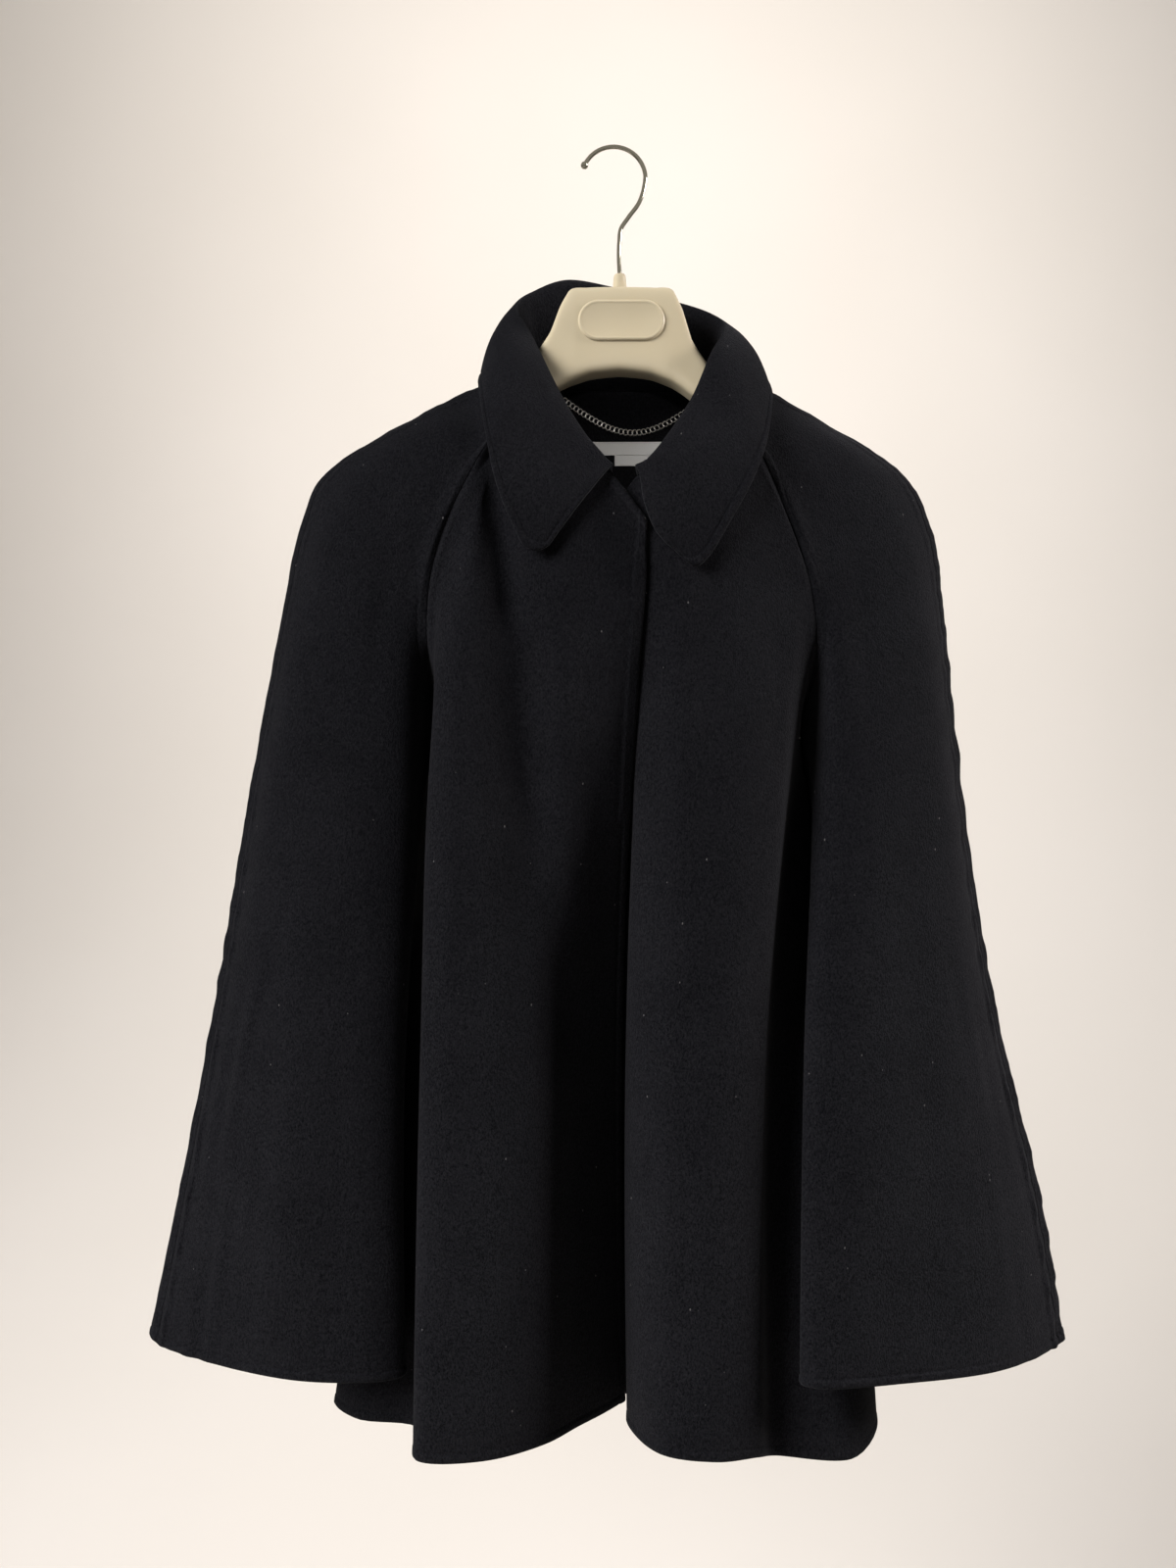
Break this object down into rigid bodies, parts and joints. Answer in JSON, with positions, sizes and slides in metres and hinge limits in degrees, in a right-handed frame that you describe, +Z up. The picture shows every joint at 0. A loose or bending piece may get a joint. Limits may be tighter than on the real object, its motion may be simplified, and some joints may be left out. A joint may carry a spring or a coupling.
{
  "type": "cape-style wool jacket on a coat hanger",
  "caption": "Black cape-style wool jacket with raglan bell sleeves and a fold-over collar, hung on a cream plastic hanger with a wire hook.",
  "frame": {"origin": "the inner top of the hanger hook's bend, where a rail or a wall hook carries it", "axes": "+X towards the wearer's left, which is the right of the picture; +Y from the front to the back; +Z up"},
  "size_m": [0.632, 0.1584, 0.8874],
  "materials": {
    "wool": "black double-face wool with a short nap",
    "woven_label": "white woven tape, bare",
    "chain_metal": "polished curb chain",
    "cream_plastic": "satin cream plastic",
    "chrome_wire": "bright chrome wire"
  },
  "bodies": {
    "root": {"front_right": "wool", "front_left": "wool", "back": "wool", "sleeve_right_front": "wool", "sleeve_right_back": "wool", "sleeve_left_front": "wool", "sleeve_left_back": "wool", "collar": "wool", "label_main": "woven_label", "label_small": "woven_label", "neck_chain": "chain_metal", "hanger_body": "cream_plastic", "hanger_badge": "cream_plastic", "hanger_boss": "cream_plastic", "hanger_hook": "chrome_wire"}
  },
  "joints": []
}
